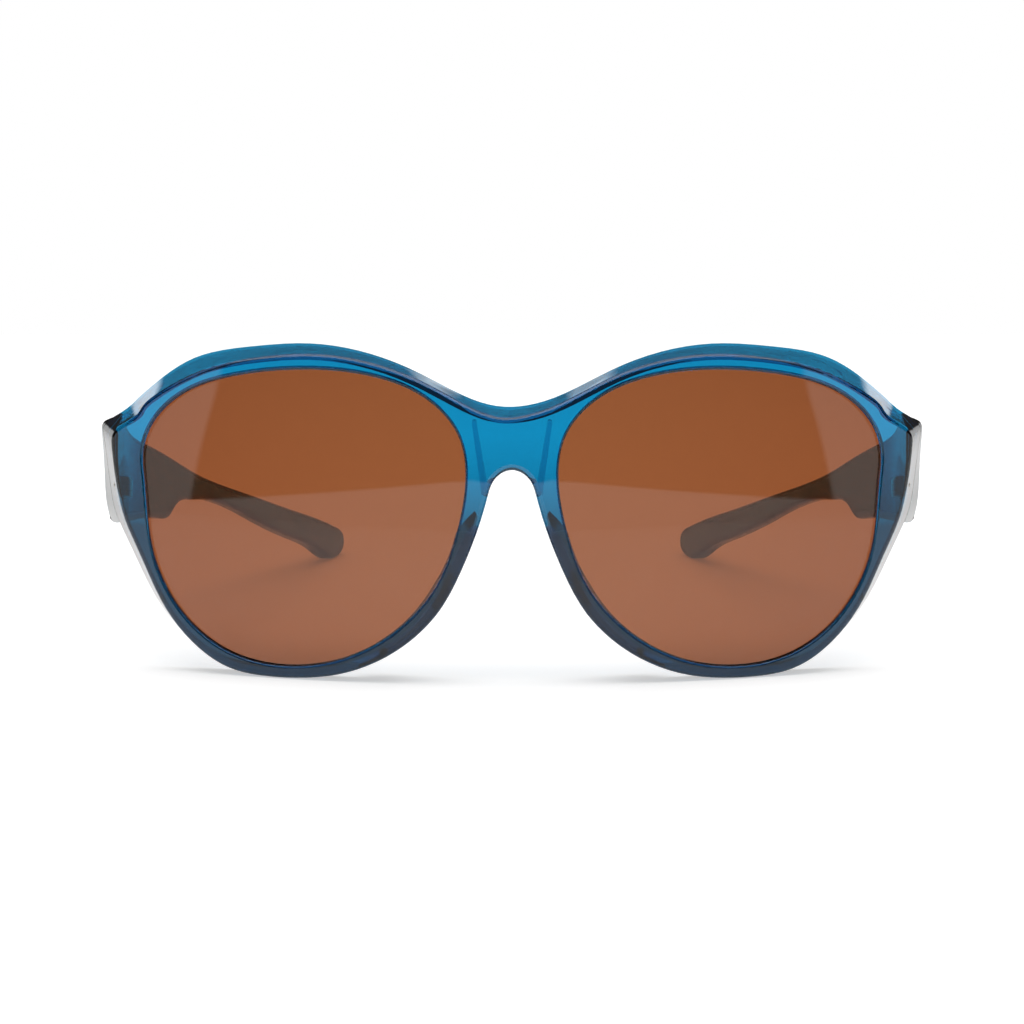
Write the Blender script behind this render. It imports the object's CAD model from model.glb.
"""Fitover sunglasses on a white table: plastic, lens and metal finishes, light and camera."""
from math import cos, radians, sin

import bpy
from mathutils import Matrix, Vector


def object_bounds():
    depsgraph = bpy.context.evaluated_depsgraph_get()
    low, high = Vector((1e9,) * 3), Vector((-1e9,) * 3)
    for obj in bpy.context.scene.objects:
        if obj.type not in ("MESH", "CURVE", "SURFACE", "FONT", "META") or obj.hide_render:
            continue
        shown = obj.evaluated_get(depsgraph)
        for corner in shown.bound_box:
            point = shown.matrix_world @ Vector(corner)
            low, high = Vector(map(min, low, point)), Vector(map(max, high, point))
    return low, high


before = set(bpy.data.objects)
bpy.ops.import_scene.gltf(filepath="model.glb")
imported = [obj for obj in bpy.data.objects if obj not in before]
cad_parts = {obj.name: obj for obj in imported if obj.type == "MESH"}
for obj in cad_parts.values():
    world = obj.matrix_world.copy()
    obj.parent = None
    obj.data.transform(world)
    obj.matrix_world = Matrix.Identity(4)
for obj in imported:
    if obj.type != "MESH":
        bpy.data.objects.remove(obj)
cad_low, cad_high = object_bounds()

MM = 0.001

# Camera: where the photograph was taken from, told by the glasses' perspective
camera_distance = 450 * MM  # to the point it looks at
camera_pitch = 8.0  # degrees down
camera_lens = 90.18  # for a film 36 mm wide
film_width = 36.0
aim_behind_front = 3.0 * MM
aim_height = 30.55 * MM
camera_near = 10 * MM

# Plastic: its tint, and how much of each colour is lost for each millimetre of it
plastic_tint = (0.011, 0.325, 0.56, 1)
plastic_loss = (0.60, 0.14, 0.09)
wall_tint = (0.004, 0.006, 0.013, 1)  # the lower walls look darker than the face
wall_depth = (1.8 * MM, 2.4 * MM)  # behind the face, where that tint starts and is full
wall_height = (44.0 * MM, 26.0 * MM)  # above the table, where it starts and is full
temple_loss = (0.45, 0.33, 0.30)  # the temples look dark and grey through the lenses
plastic_ior = 1.50
plastic_roughness = 0.02
ripple_size = 9.0 * MM  # faint waviness of the moulded surface
ripple_height = 0.006 * MM
ripple_detail = 2.0

# The ball that the front face is part of, in the shared frame
bow_radius = 150.0 * MM
bow_middle = Vector((0, 74.25, 19.54)) * MM

# Lenses: tinted by their thickness alone
lens_tint = (1, 1, 1, 1)
lens_loss = (1.19, 2.24, 3.24)
lens_ior = 1.53
lens_roughness = 0.0
lens_ripple = 0.0

# Hinge metal
metal_colour = (0.58, 0.57, 0.54, 1)
brush_length = 3.0 * MM
brush_width = 0.12 * MM
brush_depth = 0.004 * MM
brush_roughness = (0.22, 0.40)  # lowest and highest
brush_detail = 3.0

# Studio: brightness by height, as (degrees up, brightness), with straight ramps in between.
# One list each for the front, the sides and the back, and one for what is seen through a piece.
front_steps = [(-90, 1.0), (6.2, 1.0), (6.7, 0.10), (60, 0.10), (75, 0.6)]
side_steps = [(-90, 1.0), (20, 1.0), (26, 0.15), (60, 0.15), (75, 0.6)]
back_steps = [(-90, 1.0), (7, 1.0), (9, 0.05), (34, 0.05), (38, 0.6)]
through_steps = [(-90, 1.0), (8, 1.0), (14, 0.15), (60, 0.15), (75, 0.6)]
front_half_angle = 52.5  # degrees to each side of straight ahead
front_edge = 0.5  # half the width of the change, in degrees
front_tilt = 0.15  # how far the dark part draws in for each degree up
front_drop = 0.12  # how far its lower edge sinks for each degree to the side
back_half_angle = 105.0  # degrees to each side of straight behind
back_edge = 5.0
world_colour = (1, 1, 1, 1)
floor_size = 1.6  # metres
floor_colour = (0.80, 0.80, 0.80, 1)
floor_glow = 0.50  # added for the camera, reflections and see-through pieces: a white floor
lamp_height = 1.2  # metres, as the next two
lamp_width = 1.6
lamp_depth = 1.2
lamp_power = 12.0  # watts


def new_material(name):
    """An empty material, its node tree and its output."""
    material = bpy.data.materials.new(name)
    material.use_nodes = True
    tree = material.node_tree
    tree.nodes.clear()
    output = tree.nodes.new("ShaderNodeOutputMaterial")
    return material, tree, output


def object_place(tree):
    """Object coordinates, which are the shared frame's while nothing is folded."""
    return tree.nodes.new("ShaderNodeTexCoord").outputs["Object"]


def noise(tree, place, size, detail):
    """Noise whose lumps are about as large as size."""
    node = tree.nodes.new("ShaderNodeTexNoise")
    node.inputs["Scale"].default_value = 1.0 / size
    node.inputs["Detail"].default_value = detail
    tree.links.new(place, node.inputs["Vector"])
    return node.outputs["Fac"]


def bump(tree, height, distance):
    """The normal of a surface that rises by distance where height goes from 0 to 1."""
    node = tree.nodes.new("ShaderNodeBump")
    node.inputs["Distance"].default_value = distance
    tree.links.new(height, node.inputs["Height"])
    return node.outputs["Normal"]


def maths(tree, operation, *values):
    """A Math node on numbers or sockets."""
    node = tree.nodes.new("ShaderNodeMath")
    node.operation = operation
    for socket, value in zip(node.inputs, values):
        if isinstance(value, (int, float)):
            socket.default_value = value
        else:
            tree.links.new(value, socket)
    return node.outputs[0]


def change(tree, value, low, high, start=0.0, stop=1.0):
    """Goes from start to stop while value goes from low to high."""
    node = tree.nodes.new("ShaderNodeMapRange")
    node.inputs["From Min"].default_value = low
    node.inputs["From Max"].default_value = high
    node.inputs["To Min"].default_value = start
    node.inputs["To Max"].default_value = stop
    tree.links.new(value, node.inputs["Value"])
    return node.outputs["Result"]


def absorption(tree, loss):
    """Plain absorption: density times one minus the colour is the loss for each metre."""
    node = tree.nodes.new("ShaderNodeVolumeAbsorption")
    most = max(loss)
    node.inputs["Color"].default_value = [1.0 - part / most for part in loss] + [1.0]
    node.inputs["Density"].default_value = most / MM
    return node.outputs["Volume"]


def clear_material(name, tint, loss, ior, roughness, ripple):
    """See-through, tinted at its surface and by its thickness, with a faint waviness.

    Gives the material, its node tree and its shader.
    """
    material, tree, output = new_material(name)
    shader = tree.nodes.new("ShaderNodeBsdfPrincipled")
    shader.inputs["Base Color"].default_value = tint
    shader.inputs["Transmission Weight"].default_value = 1.0
    shader.inputs["IOR"].default_value = ior
    shader.inputs["Roughness"].default_value = roughness
    if ripple:
        height = noise(tree, object_place(tree), ripple_size, ripple_detail)
        tree.links.new(bump(tree, height, ripple), shader.inputs["Normal"])
    tree.links.new(shader.outputs["BSDF"], output.inputs["Surface"])
    tree.links.new(absorption(tree, loss), output.inputs["Volume"])
    return material, tree, shader


def darken_walls(tree, shader):
    """The wall tint on what lies low and behind the face, which is part of a ball."""
    away = tree.nodes.new("ShaderNodeVectorMath")
    away.operation = "DISTANCE"
    away.inputs[1].default_value = bow_middle
    place = object_place(tree)
    tree.links.new(place, away.inputs[0])
    split = tree.nodes.new("ShaderNodeSeparateXYZ")
    tree.links.new(place, split.inputs[0])
    depth = maths(tree, "SUBTRACT", bow_radius, away.outputs["Value"])
    share = change(tree, depth, *wall_depth)
    share = maths(tree, "MULTIPLY", share, change(tree, split.outputs["Z"], *wall_height))
    mix = tree.nodes.new("ShaderNodeMix")
    mix.data_type = "RGBA"
    tree.links.new(share, mix.inputs["Factor"])
    # The node has sockets for every type of data, and only the colour ones are in use
    first, second = (socket for socket in mix.inputs if socket.type == "RGBA")
    first.default_value = plastic_tint
    second.default_value = wall_tint
    result = next(socket for socket in mix.outputs if socket.type == "RGBA")
    tree.links.new(result, shader.inputs["Base Color"])


def metal_material():
    """Satin nickel with fine brush marks along the leaves."""
    material, tree, output = new_material("hinge_metal")
    place = object_place(tree)
    stretch = tree.nodes.new("ShaderNodeMapping")
    stretch.inputs["Scale"].default_value = (1, brush_width / brush_length, 1)
    tree.links.new(place, stretch.inputs["Vector"])
    marks = noise(tree, stretch.outputs["Vector"], brush_width, brush_detail)
    shader = tree.nodes.new("ShaderNodeBsdfPrincipled")
    shader.inputs["Base Color"].default_value = metal_colour
    shader.inputs["Metallic"].default_value = 1.0
    tree.links.new(change(tree, marks, 0.0, 1.0, *brush_roughness), shader.inputs["Roughness"])
    tree.links.new(bump(tree, marks, brush_depth), shader.inputs["Normal"])
    tree.links.new(shader.outputs["BSDF"], output.inputs["Surface"])
    return material


def dress(node, material):
    """Gives a CAD node its one material."""
    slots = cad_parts[node].data.materials
    slots.clear()
    slots.append(material)


def up_steps(tree, elevation, steps):
    """Brightness by height: a sum of ramps, one for each pair of steps."""
    level = steps[0][1]
    for (low, before), (high, after) in zip(steps, steps[1:]):
        if after != before:
            ramp = change(tree, elevation, radians(low), radians(high), 0.0, after - before)
            level = maths(tree, "ADD", level, ramp)
    return level


def blend(tree, share, first, second):
    """first where share is 0 and second where it is 1."""
    node = tree.nodes.new("ShaderNodeMix")
    # Its factor and the first and second of its sockets for numbers
    for socket, value in zip(node.inputs[:1] + node.inputs[2:4], (share, first, second)):
        if isinstance(value, (int, float)):
            socket.default_value = value
        else:
            tree.links.new(value, socket)
    return node.outputs[0]


def studio_world():
    """White low down all round, dark above that, grey overhead. The camera itself sees white."""
    world = bpy.data.worlds.new("studio")
    bpy.context.scene.world = world
    world.use_nodes = True
    tree = world.node_tree
    tree.nodes.clear()
    direction = tree.nodes.new("ShaderNodeTexCoord").outputs["Generated"]
    split = tree.nodes.new("ShaderNodeSeparateXYZ")
    tree.links.new(direction, split.inputs[0])
    elevation = maths(tree, "ARCSINE", split.outputs["Z"])
    forward = maths(tree, "MULTIPLY", split.outputs["Y"], -1.0)
    azimuth = maths(tree, "ARCTAN2", maths(tree, "ABSOLUTE", split.outputs["X"]), forward)

    sunk = maths(tree, "ADD", elevation, maths(tree, "MULTIPLY", azimuth, front_drop))
    front = up_steps(tree, sunk, front_steps)
    side, back, through = (
        up_steps(tree, elevation, steps) for steps in (side_steps, back_steps, through_steps)
    )
    front_limits = [radians(front_half_angle + turn) for turn in (-front_edge, front_edge)]
    back_limits = [radians(180 - back_half_angle + turn) for turn in (-back_edge, back_edge)]
    tilted = maths(tree, "ADD", azimuth, maths(tree, "MULTIPLY", elevation, front_tilt))
    around = blend(tree, change(tree, tilted, *front_limits), front, side)
    around = blend(tree, change(tree, azimuth, *back_limits), around, back)
    light_path = tree.nodes.new("ShaderNodeLightPath")
    strength = blend(tree, light_path.outputs["Is Transmission Ray"], around, through)
    strength = blend(tree, light_path.outputs["Is Camera Ray"], strength, 1.0)
    background = tree.nodes.new("ShaderNodeBackground")
    background.inputs["Color"].default_value = world_colour
    tree.links.new(strength, background.inputs["Strength"])
    output = tree.nodes.new("ShaderNodeOutputWorld")
    tree.links.new(background.outputs["Background"], output.inputs["Surface"])


def table():
    """The white table that the glasses stand on."""
    half = floor_size / 2
    mesh = bpy.data.meshes.new("table")
    corners = [(-half, -half, 0), (half, -half, 0), (half, half, 0), (-half, half, 0)]
    mesh.from_pydata(corners, [], [(0, 1, 2, 3)])
    floor = bpy.data.objects.new("table", mesh)
    bpy.context.scene.collection.objects.link(floor)
    material, tree, output = new_material("white_table")
    matt = tree.nodes.new("ShaderNodeBsdfDiffuse")
    matt.inputs["Color"].default_value = floor_colour
    glow = tree.nodes.new("ShaderNodeEmission")
    light_path = tree.nodes.new("ShaderNodeLightPath")
    seen = light_path.outputs["Is Camera Ray"]
    for kind in ("Is Glossy Ray", "Is Transmission Ray"):
        seen = maths(tree, "MAXIMUM", seen, light_path.outputs[kind])
    tree.links.new(maths(tree, "MULTIPLY", seen, floor_glow), glow.inputs["Strength"])
    both = tree.nodes.new("ShaderNodeAddShader")
    tree.links.new(matt.outputs["BSDF"], both.inputs[0])
    tree.links.new(glow.outputs["Emission"], both.inputs[1])
    tree.links.new(both.outputs["Shader"], output.inputs["Surface"])
    mesh.materials.append(material)


def overhead_lamp():
    """A soft rectangular lamp that faces straight down."""
    data = bpy.data.lights.new("overhead", "AREA")
    data.shape = "RECTANGLE"
    data.size = lamp_width
    data.size_y = lamp_depth
    data.energy = lamp_power
    lamp = bpy.data.objects.new("overhead", data)
    lamp.location = (0, 0, lamp_height)
    lamp.rotation_euler = Vector((0, 0, -lamp_height)).to_track_quat("-Z", "Y").to_euler()
    bpy.context.scene.collection.objects.link(lamp)


def photo_camera():
    """The camera where the photograph was taken from."""
    front = cad_low[1]
    aim = Vector((0, front + aim_behind_front, aim_height))
    pitch = radians(camera_pitch)
    data = bpy.data.cameras.new("photo_camera")
    data.lens = camera_lens
    data.sensor_width = film_width
    data.clip_start = camera_near
    camera = bpy.data.objects.new("photo_camera", data)
    camera.location = aim + camera_distance * Vector((0, -cos(pitch), sin(pitch)))
    camera.rotation_euler = (radians(90 - camera_pitch), 0, 0)
    bpy.context.scene.collection.objects.link(camera)
    bpy.context.scene.camera = camera


plastic, plastic_tree, plastic_shader = clear_material(
    "blue_plastic", plastic_tint, plastic_loss, plastic_ior, plastic_roughness, ripple_height
)
darken_walls(plastic_tree, plastic_shader)
temple_plastic = clear_material(
    "temple_plastic", plastic_tint, temple_loss, plastic_ior, plastic_roughness, ripple_height
)[0]
lens = clear_material(
    "brown_lens", lens_tint, lens_loss, lens_ior, lens_roughness, lens_ripple
)[0]
metal = metal_material()
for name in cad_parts:
    if name.startswith("lens"):
        dress(name, lens)
    elif name.startswith("hinge"):
        dress(name, metal)
    elif name.startswith("temple"):
        dress(name, temple_plastic)
    else:
        dress(name, plastic)

studio_world()
table()
photo_camera()
overhead_lamp()

bpy.context.scene.view_settings.view_transform = "Standard"
